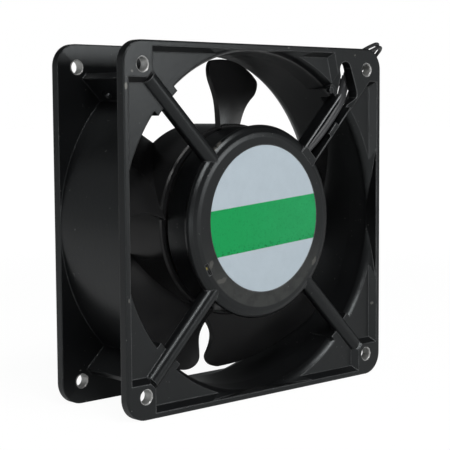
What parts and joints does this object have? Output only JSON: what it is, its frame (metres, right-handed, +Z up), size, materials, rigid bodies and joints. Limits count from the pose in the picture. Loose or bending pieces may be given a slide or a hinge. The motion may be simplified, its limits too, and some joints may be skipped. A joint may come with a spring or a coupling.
{
  "type": "rack cooling fan",
  "caption": "Square 120 x 38 mm axial rack fan with a black cast frame, a twisted-blade impeller on an outer-rotor motor, ball bearings and two free leads.",
  "frame": {"origin": "on the impeller axis, half way between the front and rear flange faces", "axes": "+X right, +Y from the label side back along the impeller axis, +Z up; it stands on the lower flange edges at z = -60 mm"},
  "size_m": [0.1429, 0.0723, 0.1233],
  "materials": {
    "casting": "black paint with a fine grain",
    "label": "satin film with a green band",
    "impeller": "moulded black plastic",
    "lead_insulation": "black insulation",
    "sleeve": "dark grey sleeve",
    "tinned_copper": "tinned",
    "lamination_steel": "stacked sheet",
    "rotor_steel": "drawn steel",
    "rotor_aluminium": "die cast",
    "bearing_steel": "ground",
    "shaft_steel": "ground",
    "washer_steel": "spring steel",
    "copper": "enamelled copper",
    "bobbin": "natural plastic",
    "board": "laminate"
  },
  "bodies": {
    "frame": {"frame_casting": "casting", "hub_label": "label", "lead_sleeve": "sleeve", "lead_line": "lead_insulation", "lead_neutral": "lead_insulation", "lead_tips": "tinned_copper", "stator_laminations": "lamination_steel", "stator_bobbins": "bobbin", "stator_coils": "copper", "shading_rings": "copper", "terminal_board": "board", "terminal_posts": "tinned_copper", "bearing_outer_ring_front": "bearing_steel", "bearing_outer_ring_rear": "bearing_steel", "bearing_shields": "washer_steel", "preload_washer": "washer_steel"},
    "rotor": {"impeller": "impeller", "rotor_cup": "rotor_steel", "squirrel_cage_core": "lamination_steel", "squirrel_end_rings": "rotor_aluminium", "shaft": "shaft_steel", "bearing_inner_ring_front": "bearing_steel", "bearing_inner_ring_rear": "bearing_steel", "thrust_washer": "washer_steel", "retaining_clip": "washer_steel"},
    "front_balls": {"ball_set_front": "bearing_steel", "ball_cage_front": "washer_steel"},
    "rear_balls": {"ball_set_rear": "bearing_steel", "ball_cage_rear": "washer_steel"}
  },
  "joints": [
    {"name": "impeller_spin", "type": "hinge", "parent": "frame", "child": "rotor", "pos_m": [0, 0, 0], "axis": [0, 1, 0], "continuous": true},
    {"name": "front_ball_orbit", "type": "hinge", "parent": "frame", "child": "front_balls", "pos_m": [0, -0.0105, 0], "axis": [0, 1, 0], "continuous": true},
    {"name": "rear_ball_orbit", "type": "hinge", "parent": "frame", "child": "rear_balls", "pos_m": [0, 0.0085, 0], "axis": [0, 1, 0], "continuous": true}
  ],
  "couplings": [
    {"joint": "front_ball_orbit", "follows": "impeller_spin", "ratio": 0.3663},
    {"joint": "rear_ball_orbit", "follows": "impeller_spin", "ratio": 0.3663}
  ]
}
